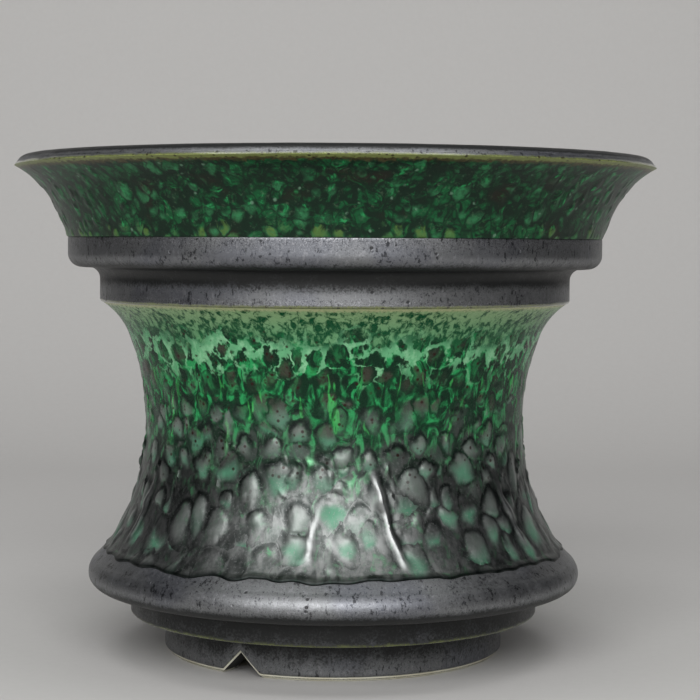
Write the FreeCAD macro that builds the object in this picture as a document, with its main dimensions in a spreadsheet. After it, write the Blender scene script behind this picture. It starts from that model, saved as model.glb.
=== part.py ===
import FreeCAD, Part
import math
import os
import re

import Sketcher

# Waisted porcelain flower pot: seven clay sections stacked on each other, under six coats of glaze.
# The pot stands on the table plane with its axis on Z. Lengths are millimetres, angles degrees.
# Every ring is a half outline (radius across, height up) turned once round the axis.

SIZES = {
    # heights of the sections over the glaze, stacked from the table upwards
    "foot_height": 11.7,
    "step_height": 7.9,
    "roll_height": 12.7,
    "waist_height": 71.9,
    "neck_height": 10.2,
    "collar_height": 8.8,
    "rim_height": 20.8,
    "lip_height": 3.0,
    # outside radii over the glaze, and how far in or out from the roll the others lie
    "roll_radius": 73.6,
    "skirt_inset": 6.3,
    "step_inset": 12.6,
    "foot_inset": 10.3,
    "waist_inset": 10.8,
    "collar_overhang": 5.9,
    "neck_inset": 9.4,
    "mouth_radius": 95.0,
    # roundings of the outline
    "roll_under_round": 4.0,
    "roll_over_width": 2.3,
    "roll_over_height": 4.6,
    "neck_round": 0.7,
    "cove_round": 3.4,
    "collar_round": 4.0,
    # how far each shallow curve bows from its chord
    "skirt_bow": 0.22,
    "throat_bow": 0.94,
    "flare_low_bow": 0.48,
    "flare_high_bow": 0.72,
    "lip_bow": 0.8,
    "lip_inner_bow": 0.35,
    "inner_flare_bow": 1.8,
    "inner_roll_bow": 1.6,
    # where the long curves join, as shares of their section
    "waist_level_share": 0.51,
    "skirt_radius_share": 0.597,
    "skirt_height_share": 0.80,
    "throat_radius_share": 0.388,
    "throat_height_share": 0.73,
    "flare_radius_share": 0.39,
    "flare_height_share": 0.61,
    # clay walls
    "wall_thickness": 5.4,
    "foot_wall": 7.5,
    "foot_edge": 0.8,
    "lip_width": 4.6,
    "lip_inner_width": 2.4,
    "lip_inner_drop": 1.6,
    "collar_inner_step": 2.8,
    "roll_inner_step": 4.2,
    # lap joints between the sections
    "tongue_height": 2.0,
    "tongue_thickness": 2.2,
    "slip_gap": 0.15,
    # glaze
    "glaze_coat": 0.6,
    "bare_edge": 1.2,
    # drainage
    "drain_radius": 12.0,
    "notch_width": 13.6,
    "notch_height": 6.6,
    "notch_bare_edge": 0.9,
    "notch_turn": 31.0,
    "notch_count": 3,
}

doc = FreeCAD.newDocument("flower_pot")
sheet = doc.addObject("Spreadsheet::Sheet", "Sizes")
for row, (alias, size) in enumerate(SIZES.items(), start=1):
    sheet.set(f"A{row}", str(size))
    sheet.setAlias(f"A{row}", alias)
doc.recompute()

# Levels over the glaze, each built on the one below
STEP_UNDER = "foot_height"
ROLL_UNDER = f"({STEP_UNDER} + step_height)"
ROLL_MIDDLE = f"({ROLL_UNDER} + roll_under_round)"
ROLL_TOP = f"({ROLL_UNDER} + roll_height)"
WAIST_LEVEL = f"({ROLL_TOP} + waist_height * waist_level_share)"
WAIST_TOP = f"({ROLL_TOP} + waist_height)"
COLLAR_UNDER = f"({WAIST_TOP} + neck_height)"
COLLAR_TOP = f"({COLLAR_UNDER} + collar_height)"
TIP = f"({COLLAR_TOP} + rim_height)"
TOP = f"({TIP} + lip_height)"

# Levels where one clay section meets the next
FOOT_SEAM = f"({STEP_UNDER} + glaze_coat)"
FLOOR_SEAM = f"({ROLL_UNDER} + glaze_coat)"
COLLAR_SEAM = f"({COLLAR_UNDER} + glaze_coat)"

# Outside radii that follow from the roll, so that the wall keeps its slopes when the pot gets wider
SKIRT_RADIUS = "(roll_radius - skirt_inset)"
STEP_RADIUS = "(roll_radius - step_inset)"
FOOT_RADIUS = f"({STEP_RADIUS} - foot_inset)"
WAIST_RADIUS = f"({SKIRT_RADIUS} - waist_inset)"
COLLAR_RADIUS = "(roll_radius + collar_overhang)"
NECK_RADIUS = f"({COLLAR_RADIUS} - neck_inset)"
THROAT_RADIUS = f"({NECK_RADIUS} - neck_round)"

# Inside radii of the bare clay
FOOT_INSIDE = f"({FOOT_RADIUS} - foot_wall)"
ROLL_INSIDE = f"({SKIRT_RADIUS} - wall_thickness)"
FLOOR_INSIDE = f"({ROLL_INSIDE} - roll_inner_step)"
NECK_INSIDE = f"({THROAT_RADIUS} - wall_thickness)"
COLLAR_INSIDE = f"({NECK_RADIUS} - wall_thickness + collar_inner_step)"
RIM_INSIDE = f"({COLLAR_RADIUS} - wall_thickness)"
LIP_TOP = "(mouth_radius - lip_width)"
LIP_INSIDE = f"({LIP_TOP} - lip_inner_width)"
LIP_INSIDE_LEVEL = f"({TOP} - lip_inner_drop)"
FOOT_MIDDLE = f"({FOOT_RADIUS} - glaze_coat / 2 - foot_wall / 2)"


def bound(text):
    """The same expression with every size read from the sheet."""
    return re.sub(r"[a-z_]+", lambda word: "Sizes." * (word.group() in SIZES) + word.group(), text)


def number(text):
    """What an expression of sizes comes to."""
    return float(sheet.evalExpression(text))


def chord_squared(p, q):
    return f"((({p[0]}) - ({q[0]}))^2 + (({p[1]}) - ({q[1]}))^2)"


def bow(rise, side):
    """A stretch that bows from its chord by this rise, in to the axis or out from it."""
    return lambda p, q: (f"{chord_squared(p, q)} / (8 * {rise}) + {rise} / 2", side)


def round_corner(radius, side):
    """A stretch of a circle of known radius."""
    return lambda p, q: (radius, side)


def upright(side):
    """A stretch of a circle that is upright at its end nearest the axis (in) or farthest from it (out)."""
    return lambda p, q: (f"{chord_squared(p, q)} / (2 * abs(({p[0]}) - ({q[0]})))", side)


def plane(body, role):
    return [feature for feature in body.Origin.OriginFeatures if feature.Role == role][0]


def sketch_on(body, name, role):
    sketch = body.newObject("Sketcher::SketchObject", name)
    sketch.AttachmentSupport = [(plane(body, role), "")]
    sketch.MapMode = "FlatFace"
    return sketch


def tie(sketch, name, constraint, text):
    index = sketch.addConstraint(constraint)
    sketch.renameConstraint(index, name)
    sketch.setExpression(f"Constraints.{name}", bound(text))


def draw_arc(sketch, start, end, radius, side):
    """Add the arc and return which of its own ends lie at the start and at the end of the stretch."""
    middle = (start + end) / 2
    chord = end - start
    right = FreeCAD.Vector(chord.y, -chord.x, 0).normalize()
    bulges_right = (right.x > 0) == (side == "out")
    reach = math.sqrt(max(radius ** 2 - chord.Length ** 2 / 4, 0))
    centre = middle - right * (reach if bulges_right else -reach)
    angles = [math.atan2(point.y - centre.y, point.x - centre.x) for point in (start, end)]
    circle = Part.Circle(centre, FreeCAD.Vector(0, 0, 1), radius)
    if bulges_right:
        sketch.addGeometry(Part.ArcOfCircle(circle, angles[0], angles[1]))
        return 1, 2
    sketch.addGeometry(Part.ArcOfCircle(circle, angles[1], angles[0]))
    return 2, 1


def turned_ring(name, outline):
    """A body turned from a closed half outline of corners (radius, height[, curve to the next])."""
    body = doc.addObject("PartDesign::Body", name)
    sketch = sketch_on(body, f"{name}_outline", "XZ_Plane")
    corners = [step[:2] for step in outline]
    points = [FreeCAD.Vector(number(r), number(z), 0) for r, z in corners]
    ends = []
    for index, step in enumerate(outline):
        after = (index + 1) % len(outline)
        if len(step) == 2:
            sketch.addGeometry(Part.LineSegment(points[index], points[after]))
            ends.append((1, 2))
            continue
        radius, side = step[2](corners[index], corners[after])
        ends.append(draw_arc(sketch, points[index], points[after], number(radius), side))
        tie(sketch, f"curve_{index}", Sketcher.Constraint("Radius", index, number(radius)), radius)
    for index, (r, z) in enumerate(corners):
        after = (index + 1) % len(corners)
        sketch.addConstraint(Sketcher.Constraint("Coincident", index, ends[index][1], after, ends[after][0]))
        across = Sketcher.Constraint("DistanceX", -1, 1, index, ends[index][0], points[index].x)
        tie(sketch, f"radius_{index}", across, r)
        up = Sketcher.Constraint("DistanceY", -1, 1, index, ends[index][0], points[index].y)
        tie(sketch, f"height_{index}", up, z)
    turn = body.newObject("PartDesign::Revolution", f"{name}_turn")
    turn.Profile = sketch
    turn.ReferenceAxis = (sketch, ["V_Axis"])
    turn.Angle = 360
    doc.recompute()
    return body


def cut_notches(body, width, height):
    """Cut the drain notches, upside-down Vs in the foot, and repeat them round the axis."""
    name = body.Name
    before = body.Shape.Volume
    sketch = sketch_on(body, f"{name}_notch", "XZ_Plane")
    turned = FreeCAD.Rotation(FreeCAD.Vector(0, 1, 0), -SIZES["notch_turn"])
    sketch.AttachmentOffset = FreeCAD.Placement(FreeCAD.Vector(0, 0, 0), turned)
    sketch.setExpression("AttachmentOffset.Rotation.Angle", bound("-notch_turn"))
    half = number(width) / 2
    left = FreeCAD.Vector(-half, 0, 0)
    right = FreeCAD.Vector(half, 0, 0)
    apex = FreeCAD.Vector(0, number(height), 0)
    for start, end in ((left, right), (right, apex), (apex, left)):
        sketch.addGeometry(Part.LineSegment(start, end))
    for index in range(3):
        sketch.addConstraint(Sketcher.Constraint("Coincident", index, 2, (index + 1) % 3, 1))
    sketch.addConstraint(Sketcher.Constraint("Symmetric", 0, 1, 0, 2, -1, 1))
    sketch.addConstraint(Sketcher.Constraint("Horizontal", 0))
    sketch.addConstraint(Sketcher.Constraint("PointOnObject", 2, 1, -2))
    tie(sketch, "width", Sketcher.Constraint("DistanceX", 0, 1, 0, 2, 2 * half), width)
    tie(sketch, "height", Sketcher.Constraint("DistanceY", -1, 1, 2, 1, apex.y), height)
    pocket = body.newObject("PartDesign::Pocket", f"{name}_pocket")
    pocket.Profile = sketch
    pocket.Reversed = True
    pocket.setExpression("Length", bound(f"{FOOT_RADIUS} + foot_wall"))
    doc.recompute()
    pattern = body.newObject("PartDesign::PolarPattern", f"{name}_notches")
    pattern.Originals = [pocket]
    pattern.Axis = (plane(body, "Z_Axis"), [""])
    pattern.Angle = 360
    pattern.setExpression("Occurrences", bound("notch_count"))
    body.Tip = pattern
    doc.recompute()
    if body.Shape.Volume >= before:
        raise RuntimeError(f"{name}: the notches cut nothing")


def under(radius):
    """A wall radius under the glaze."""
    return f"({radius} - glaze_coat)"


def inside(radius):
    """The inner face of a wall whose outer face has this radius."""
    return f"({radius} - wall_thickness)"


# Joins of the long curves, over the glaze
SKIRT_JOIN = f"({WAIST_RADIUS} + ({SKIRT_RADIUS} - {WAIST_RADIUS}) * skirt_radius_share)"
SKIRT_JOIN_LEVEL = f"({WAIST_LEVEL} - ({WAIST_LEVEL} - {ROLL_TOP}) * skirt_height_share)"
THROAT_JOIN = f"({WAIST_RADIUS} + ({THROAT_RADIUS} - {WAIST_RADIUS}) * throat_radius_share)"
THROAT_JOIN_LEVEL = f"({WAIST_LEVEL} + ({WAIST_TOP} - {WAIST_LEVEL}) * throat_height_share)"
FLARE_JOIN = f"({COLLAR_RADIUS} + (mouth_radius - {COLLAR_RADIUS}) * flare_radius_share)"
FLARE_JOIN_LEVEL = f"({COLLAR_TOP} + rim_height * flare_height_share)"
COLLAR_ROUND_TOP = f"({COLLAR_UNDER} + collar_round)"
ROLL_OVER = "(roll_radius - roll_over_width)"
ROLL_OVER_LEVEL = f"({ROLL_MIDDLE} + roll_over_height)"

# Foot ring: a plain hoop with eased lower edges and a tongue that keys into the floor
tongue_in = f"({FOOT_MIDDLE} - tongue_thickness / 2)"
tongue_out = f"({FOOT_MIDDLE} + tongue_thickness / 2)"
foot_ring = turned_ring("foot_ring", [
    (f"{FOOT_INSIDE} + foot_edge", "0"),
    (f"{under(FOOT_RADIUS)} - foot_edge", "0"),
    (under(FOOT_RADIUS), "foot_edge"),
    (under(FOOT_RADIUS), FOOT_SEAM),
    (tongue_out, FOOT_SEAM),
    (tongue_out, f"{FOOT_SEAM} + tongue_height"),
    (tongue_in, f"{FOOT_SEAM} + tongue_height"),
    (tongue_in, FOOT_SEAM),
    (FOOT_INSIDE, FOOT_SEAM),
    (FOOT_INSIDE, "foot_edge"),
])
cut_notches(foot_ring, "notch_width", "notch_height")

# Floor disc: its edge is the step seen above the foot, its raised middle centres the roll
floor_disc = turned_ring("floor_disc", [
    ("drain_radius", FOOT_SEAM),
    (f"{tongue_in} - slip_gap", FOOT_SEAM),
    (f"{tongue_in} - slip_gap", f"{FOOT_SEAM} + tongue_height + slip_gap"),
    (f"{tongue_out} + slip_gap", f"{FOOT_SEAM} + tongue_height + slip_gap"),
    (f"{tongue_out} + slip_gap", FOOT_SEAM),
    (under(STEP_RADIUS), FOOT_SEAM),
    (under(STEP_RADIUS), FLOOR_SEAM),
    (f"{FLOOR_INSIDE} - slip_gap", FLOOR_SEAM),
    (f"{FLOOR_INSIDE} - slip_gap", f"{FLOOR_SEAM} + tongue_height"),
    ("drain_radius", f"{FLOOR_SEAM} + tongue_height"),
])

# Base roll: the thick rounded ring at the bottom of the wall
base_roll = turned_ring("base_roll", [
    (FLOOR_INSIDE, FLOOR_SEAM),
    ("roll_radius - roll_under_round", FLOOR_SEAM, round_corner("roll_under_round - glaze_coat", "out")),
    (under("roll_radius"), ROLL_MIDDLE, upright("out")),
    (under(ROLL_OVER), ROLL_OVER_LEVEL),
    (under(SKIRT_RADIUS), ROLL_TOP),
    (f"{ROLL_INSIDE} + tongue_thickness", ROLL_TOP),
    (f"{ROLL_INSIDE} + tongue_thickness", f"{ROLL_TOP} + tongue_height"),
    (ROLL_INSIDE, f"{ROLL_TOP} + tongue_height"),
    (ROLL_INSIDE, ROLL_TOP, bow("inner_roll_bow", "out")),
    (FLOOR_INSIDE, f"{FLOOR_SEAM} + tongue_height"),
])

# Waist wall: the tall drawn-in middle
waist_wall = turned_ring("waist_wall", [
    (ROLL_INSIDE, f"{ROLL_TOP} + tongue_height"),
    (f"{ROLL_INSIDE} + tongue_thickness + slip_gap", f"{ROLL_TOP} + tongue_height"),
    (f"{ROLL_INSIDE} + tongue_thickness + slip_gap", ROLL_TOP),
    (under(SKIRT_RADIUS), ROLL_TOP, bow("skirt_bow", "in")),
    (under(SKIRT_JOIN), SKIRT_JOIN_LEVEL, upright("in")),
    (under(WAIST_RADIUS), WAIST_LEVEL, upright("in")),
    (under(THROAT_JOIN), THROAT_JOIN_LEVEL, bow("throat_bow", "in")),
    (under(THROAT_RADIUS), WAIST_TOP),
    (f"{NECK_INSIDE} + tongue_thickness", WAIST_TOP),
    (f"{NECK_INSIDE} + tongue_thickness", f"{WAIST_TOP} + tongue_height"),
    (NECK_INSIDE, f"{WAIST_TOP} + tongue_height"),
    (NECK_INSIDE, WAIST_TOP, bow("throat_bow", "in")),
    (inside(THROAT_JOIN), THROAT_JOIN_LEVEL, upright("in")),
    (inside(WAIST_RADIUS), WAIST_LEVEL, upright("in")),
    (inside(SKIRT_JOIN), SKIRT_JOIN_LEVEL, bow("skirt_bow", "in")),
])

# Neck ring: short upright band under the collar, with a cove at its top
neck_ring = turned_ring("neck_ring", [
    (NECK_INSIDE, f"{WAIST_TOP} + tongue_height"),
    (f"{NECK_INSIDE} + tongue_thickness + slip_gap", f"{WAIST_TOP} + tongue_height"),
    (f"{NECK_INSIDE} + tongue_thickness + slip_gap", WAIST_TOP),
    (under(THROAT_RADIUS), WAIST_TOP, round_corner("neck_round", "out")),
    (under(NECK_RADIUS), f"{WAIST_TOP} + neck_round"),
    (under(NECK_RADIUS), f"{COLLAR_UNDER} - cove_round", round_corner("cove_round + glaze_coat", "in")),
    (f"{NECK_RADIUS} + cove_round", COLLAR_SEAM),
    (f"{COLLAR_INSIDE} + tongue_thickness", COLLAR_SEAM),
    (f"{COLLAR_INSIDE} + tongue_thickness", f"{COLLAR_SEAM} + tongue_height"),
    (COLLAR_INSIDE, f"{COLLAR_SEAM} + tongue_height"),
    (COLLAR_INSIDE, COLLAR_SEAM),
])

# Collar ring: the upright band below the flare, rounded under
collar_ring = turned_ring("collar_ring", [
    (COLLAR_INSIDE, f"{COLLAR_SEAM} + tongue_height"),
    (f"{COLLAR_INSIDE} + tongue_thickness + slip_gap", f"{COLLAR_SEAM} + tongue_height"),
    (f"{COLLAR_INSIDE} + tongue_thickness + slip_gap", COLLAR_SEAM),
    (f"{COLLAR_RADIUS} - collar_round", COLLAR_SEAM, round_corner("collar_round - glaze_coat", "out")),
    (under(COLLAR_RADIUS), COLLAR_ROUND_TOP),
    (under(COLLAR_RADIUS), COLLAR_TOP),
    (f"{RIM_INSIDE} + tongue_thickness", COLLAR_TOP),
    (f"{RIM_INSIDE} + tongue_thickness", f"{COLLAR_TOP} + tongue_height"),
    (RIM_INSIDE, f"{COLLAR_TOP} + tongue_height"),
    (RIM_INSIDE, COLLAR_TOP),
])

# Rim flare: the wide mouth with its rounded lip
rim_flare = turned_ring("rim_flare", [
    (RIM_INSIDE, f"{COLLAR_TOP} + tongue_height"),
    (f"{RIM_INSIDE} + tongue_thickness + slip_gap", f"{COLLAR_TOP} + tongue_height"),
    (f"{RIM_INSIDE} + tongue_thickness + slip_gap", COLLAR_TOP),
    (under(COLLAR_RADIUS), COLLAR_TOP, bow("flare_low_bow", "in")),
    (under(FLARE_JOIN), FLARE_JOIN_LEVEL, bow("flare_high_bow", "in")),
    (under("mouth_radius"), TIP, bow("lip_bow", "out")),
    (LIP_TOP, f"{TOP} - glaze_coat", bow("lip_inner_bow", "in")),
    (LIP_INSIDE, LIP_INSIDE_LEVEL, bow("inner_flare_bow", "in")),
])

# Lip glaze: the band over the rounded top of the lip
lip_glaze = turned_ring("lip_glaze", [
    (under("mouth_radius"), TIP),
    ("mouth_radius", TIP, bow("lip_bow", "out")),
    (LIP_TOP, TOP, bow("lip_inner_bow", "in")),
    (under(LIP_INSIDE), LIP_INSIDE_LEVEL),
    (LIP_INSIDE, LIP_INSIDE_LEVEL, bow("lip_inner_bow", "in")),
    (LIP_TOP, f"{TOP} - glaze_coat", bow("lip_bow", "out")),
])

# Inner glaze: from the lip down the inside of the flare and the collar
inner_glaze = turned_ring("inner_glaze", [
    (LIP_INSIDE, LIP_INSIDE_LEVEL),
    (under(LIP_INSIDE), LIP_INSIDE_LEVEL, bow("inner_flare_bow", "in")),
    (under(RIM_INSIDE), f"{COLLAR_TOP} + tongue_height"),
    (under(RIM_INSIDE), COLLAR_TOP),
    (under(COLLAR_INSIDE), f"{COLLAR_SEAM} + tongue_height"),
    (COLLAR_INSIDE, f"{COLLAR_SEAM} + tongue_height"),
    (RIM_INSIDE, COLLAR_TOP),
    (RIM_INSIDE, f"{COLLAR_TOP} + tongue_height", bow("inner_flare_bow", "in")),
])

# Rim glaze: the coat on the outside of the flare
rim_glaze = turned_ring("rim_glaze", [
    (under(COLLAR_RADIUS), COLLAR_TOP),
    (COLLAR_RADIUS, COLLAR_TOP, bow("flare_low_bow", "in")),
    (FLARE_JOIN, FLARE_JOIN_LEVEL, bow("flare_high_bow", "in")),
    ("mouth_radius", TIP),
    (under("mouth_radius"), TIP, bow("flare_high_bow", "in")),
    (under(FLARE_JOIN), FLARE_JOIN_LEVEL, bow("flare_low_bow", "in")),
])

# Band glaze: one coat over the collar, the cove and the neck
band_glaze = turned_ring("band_glaze", [
    (under(THROAT_RADIUS), WAIST_TOP),
    (THROAT_RADIUS, WAIST_TOP, round_corner("neck_round", "out")),
    (NECK_RADIUS, f"{WAIST_TOP} + neck_round"),
    (NECK_RADIUS, f"{COLLAR_UNDER} - cove_round", round_corner("cove_round", "in")),
    (f"{NECK_RADIUS} + cove_round", COLLAR_UNDER),
    (f"{COLLAR_RADIUS} - collar_round", COLLAR_UNDER, round_corner("collar_round", "out")),
    (COLLAR_RADIUS, COLLAR_ROUND_TOP),
    (COLLAR_RADIUS, COLLAR_TOP),
    (under(COLLAR_RADIUS), COLLAR_TOP),
    (under(COLLAR_RADIUS), COLLAR_ROUND_TOP, round_corner("collar_round - glaze_coat", "out")),
    (f"{COLLAR_RADIUS} - collar_round", COLLAR_SEAM),
    (f"{NECK_RADIUS} + cove_round", COLLAR_SEAM, round_corner("cove_round + glaze_coat", "in")),
    (under(NECK_RADIUS), f"{COLLAR_UNDER} - cove_round"),
    (under(NECK_RADIUS), f"{WAIST_TOP} + neck_round", round_corner("neck_round", "out")),
])

# Waist glaze: the coat on the drawn-in middle
waist_glaze = turned_ring("waist_glaze", [
    (under(SKIRT_RADIUS), ROLL_TOP),
    (SKIRT_RADIUS, ROLL_TOP, bow("skirt_bow", "in")),
    (SKIRT_JOIN, SKIRT_JOIN_LEVEL, upright("in")),
    (WAIST_RADIUS, WAIST_LEVEL, upright("in")),
    (THROAT_JOIN, THROAT_JOIN_LEVEL, bow("throat_bow", "in")),
    (THROAT_RADIUS, WAIST_TOP),
    (under(THROAT_RADIUS), WAIST_TOP, bow("throat_bow", "in")),
    (under(THROAT_JOIN), THROAT_JOIN_LEVEL, upright("in")),
    (under(WAIST_RADIUS), WAIST_LEVEL, upright("in")),
    (under(SKIRT_JOIN), SKIRT_JOIN_LEVEL, bow("skirt_bow", "in")),
])

# Base glaze: one coat over the roll, the step and the foot, wiped off the bottom edge and the notches
base_glaze = turned_ring("base_glaze", [
    (under(SKIRT_RADIUS), ROLL_TOP),
    (under(ROLL_OVER), ROLL_OVER_LEVEL, upright("out")),
    (under("roll_radius"), ROLL_MIDDLE, round_corner("roll_under_round - glaze_coat", "out")),
    ("roll_radius - roll_under_round", FLOOR_SEAM),
    (under(STEP_RADIUS), FLOOR_SEAM),
    (under(STEP_RADIUS), FOOT_SEAM),
    (under(FOOT_RADIUS), FOOT_SEAM),
    (under(FOOT_RADIUS), "bare_edge"),
    (FOOT_RADIUS, "bare_edge"),
    (FOOT_RADIUS, STEP_UNDER),
    (STEP_RADIUS, STEP_UNDER),
    (STEP_RADIUS, ROLL_UNDER),
    ("roll_radius - roll_under_round", ROLL_UNDER, round_corner("roll_under_round", "out")),
    ("roll_radius", ROLL_MIDDLE, upright("out")),
    (ROLL_OVER, ROLL_OVER_LEVEL),
    (SKIRT_RADIUS, ROLL_TOP),
])
notch_slant = "sqrt(notch_width^2 / 4 + notch_height^2)"
wiped_width = f"notch_width + 2 * notch_bare_edge * {notch_slant} / notch_height"
wiped_height = f"notch_height + 2 * notch_bare_edge * {notch_slant} / notch_width"
cut_notches(base_glaze, wiped_width, wiped_height)

pieces = [
    foot_ring, floor_disc, base_roll, waist_wall, neck_ring, collar_ring, rim_flare,
    lip_glaze, inner_glaze, rim_glaze, band_glaze, waist_glaze, base_glaze,
]

doc.recompute()
for thing in doc.Objects:
    if {"Invalid", "Error"} & set(thing.State):
        raise RuntimeError(f"{thing.Name} did not compute")
os.makedirs("parts", exist_ok=True)
for piece in pieces:
    shape = piece.Shape
    if shape.isNull() or not shape.isValid() or len(shape.Solids) != 1:
        raise RuntimeError(f"{piece.Label} is not one valid solid")
    shape.exportStep(f"parts/{piece.Label}.step")
    print(piece.Label, round(shape.Volume / 1000, 2), "cm3")
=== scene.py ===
# %% [markdown]
# A waisted porcelain flower pot
#
# The pot was thrown in clay, dipped in glazes that run in the kiln, and fired. The solids of the pot come
# from CAD as a fixed frame. This lesson lays the glazes over them, one skin at a time, then sets the paper,
# the light and the camera. Every skin is turned on a lathe made of Geometry Nodes, because a pot is a shape
# that follows a rule: one half outline, taken once round the axis.

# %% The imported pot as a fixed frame
import math
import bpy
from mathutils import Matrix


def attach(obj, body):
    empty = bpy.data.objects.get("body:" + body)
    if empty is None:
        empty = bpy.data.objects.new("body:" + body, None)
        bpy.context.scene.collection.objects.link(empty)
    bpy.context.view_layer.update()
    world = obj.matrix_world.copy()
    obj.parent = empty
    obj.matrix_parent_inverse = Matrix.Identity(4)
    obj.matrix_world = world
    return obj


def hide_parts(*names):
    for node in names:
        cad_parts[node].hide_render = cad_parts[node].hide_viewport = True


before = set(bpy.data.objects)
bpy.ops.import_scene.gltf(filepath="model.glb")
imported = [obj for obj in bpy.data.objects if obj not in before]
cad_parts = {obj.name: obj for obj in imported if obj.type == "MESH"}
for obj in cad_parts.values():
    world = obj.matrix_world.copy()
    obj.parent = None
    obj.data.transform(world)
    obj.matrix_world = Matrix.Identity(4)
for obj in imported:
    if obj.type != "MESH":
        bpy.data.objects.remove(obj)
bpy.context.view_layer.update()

from types import SimpleNamespace

import bmesh
import bpy
from mathutils import Matrix, Vector

MM = 0.001

# %% [markdown]
# Sizes from the frame
#
# Each skin of glaze takes the place of a plain CAD coat and has to start and end where that coat does. The
# levels could be typed in once more, but then two files would have to agree. They are measured on the coats
# instead, and only sizes that a coat's box doesn't show, such as the neck's radius, are named here.


# %% Measuring a coat of the frame
def measured(name):
    """The lowest and highest level of a CAD node, and its smallest and largest radius, in mm."""
    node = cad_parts[name]
    places = [node.matrix_world @ vertex.co for vertex in node.data.vertices]
    levels = [round(place.z / MM, 2) for place in places]
    radii = [round(math.hypot(place.x, place.y) / MM, 2) for place in places]
    coat = SimpleNamespace(low=min(levels), high=max(levels), inner=min(radii), outer=max(radii))
    print(f"{name}: levels {coat.low} to {coat.high}, radii {coat.inner} to {coat.outer}")
    return coat


# %% [markdown]
# Expressions instead of boxes and wires
#
# A glaze is a long sum of masks, and wiring each Math node by hand hides the sum. The small class below
# wraps one output socket, so that a line such as 1 - mask * 0.5 adds its own nodes. The same line works in
# a shader and in Geometry Nodes, and so the colour of a drop and its bulge come from one and the same rule.


# %% A socket that takes part in Python expressions
class Wire:
    """One output socket. Operators add Math nodes, or Vector Math nodes where a vector takes part."""

    def __init__(self, tree, socket):
        self.tree = tree
        self.socket = socket

    @staticmethod
    def node(tree, kind, settings=None, values=None):
        """Add a node of any kind: its settings first, then the values or links of its sockets."""
        made = tree.nodes.new(kind)
        for name, setting in (settings or {}).items():
            setattr(made, name, setting)
        for name, value in (values or {}).items():
            if isinstance(value, Wire):
                tree.links.new(value.socket, made.inputs[name])
            else:
                made.inputs[name].default_value = value
        return made

    def combine(self, operation, *others):
        """Add the node of one operation on this socket and on other sockets or numbers."""
        operands = (self, *others)
        vectors = any(isinstance(o, Wire) and o.socket.type == "VECTOR" for o in operands)
        kind = "ShaderNodeVectorMath" if vectors else "ShaderNodeMath"
        values = {}
        for index, operand in enumerate(operands):
            number = not isinstance(operand, (Wire, tuple))
            values[index] = (operand,) * 3 if vectors and number else operand
        made = Wire.node(self.tree, kind, {"operation": operation}, values)
        single = operation in ("DOT_PRODUCT", "LENGTH")
        return Wire(self.tree, made.outputs[1 if single else 0])

    def __add__(self, other):
        return self.combine("ADD", other)

    def __mul__(self, other):
        return self.combine("MULTIPLY", other)

    def __sub__(self, other):
        return self.combine("SUBTRACT", other)

    def __truediv__(self, other):
        return self.combine("DIVIDE", other)

    def __pow__(self, other):
        return self.combine("POWER", other)

    def __rsub__(self, other):
        return self * -1 + other


# %% Masks and colours
def ramp(wire, low, high):
    """A smooth step from 0 at low to 1 at high; low may be the larger number."""
    made = Wire.node(wire.tree, "ShaderNodeMapRange", {"interpolation_type": "SMOOTHSTEP"},
                     {"Value": wire, "From Min": low, "From Max": high})
    return Wire(wire.tree, made.outputs["Result"])


def between(wire, start, full, fall, end):
    """1 between full and fall, and 0 before start and past end."""
    return ramp(wire, start, full) * ramp(wire, end, fall)


def highest(wires):
    """The largest of several values at each point."""
    most, *others = wires
    for wire in others:
        most = most.combine("MAXIMUM", wire)
    return most


def blend(mask, under, over):
    """Lay one colour over another where the mask is 1."""
    rgba = [(*colour, 1.0) if isinstance(colour, tuple) else colour for colour in (under, over)]
    made = Wire.node(mask.tree, "ShaderNodeMix", {"data_type": "RGBA"}, {0: mask, 6: rgba[0], 7: rgba[1]})
    return Wire(mask.tree, made.outputs[2])


# %% Places and directions
FLATTEN = (1.0, 1.0, 0.0)


def split(vector):
    made = Wire.node(vector.tree, "ShaderNodeSeparateXYZ", {}, {0: vector})
    return [Wire(vector.tree, socket) for socket in made.outputs]


def join(tree, x, y, z):
    made = Wire.node(tree, "ShaderNodeCombineXYZ", {}, {0: x, 1: y, 2: z})
    return Wire(tree, made.outputs[0])


def off_axis(place):
    """How far a point lies from the axis of the pot."""
    x, y, z = split(place)
    return (x * x + y * y) ** 0.5


def outward(place):
    """The level direction from the axis to a point."""
    return (place * FLATTEN).combine("NORMALIZE")


def rise_from(place, low, high):
    """How high a point lies, from 0 at one level in mm to 1 at another."""
    return (split(place)[2] / MM - low) / (high - low)


# %% Noises and scatters
def noise(place, scale, detail=2.0, roughness=0.5, output="Fac", swirl=0.0):
    """Waves without a pattern. The scale counts them over one metre, or over one cell of a flow."""
    values = {"Vector": place, "Scale": scale, "Detail": detail, "Roughness": roughness, "Distortion": swirl}
    made = Wire.node(place.tree, "ShaderNodeTexNoise", {}, values)
    return Wire(place.tree, made.outputs[output])


def wander(place, scale, detail):
    """A direction that changes from place to place, centred on zero."""
    x, y, z = split(noise(place, scale, detail, output="Color"))
    return join(place.tree, x - 0.5, y - 0.5, z - 0.5)


def voronoi(place, scale, feature="F1", flat=False, randomness=1.0):
    """The cells of a scatter of points, as all the outputs of the node by name."""
    settings = {"voronoi_dimensions": "2D" if flat else "3D", "feature": feature}
    made = Wire.node(place.tree, "ShaderNodeTexVoronoi", settings,
                     {"Vector": place, "Scale": scale, "Randomness": randomness})
    return {socket.name: Wire(place.tree, socket) for socket in made.outputs}


def spots(place, scale, edge, luck):
    """Round spots, faded between two distances from the middle, in the cells that have enough luck."""
    cells = voronoi(place, scale)
    return ramp(cells["Distance"], *edge) * ramp(split(cells["Color"])[0], *luck)


print("expressions ready")

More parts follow.
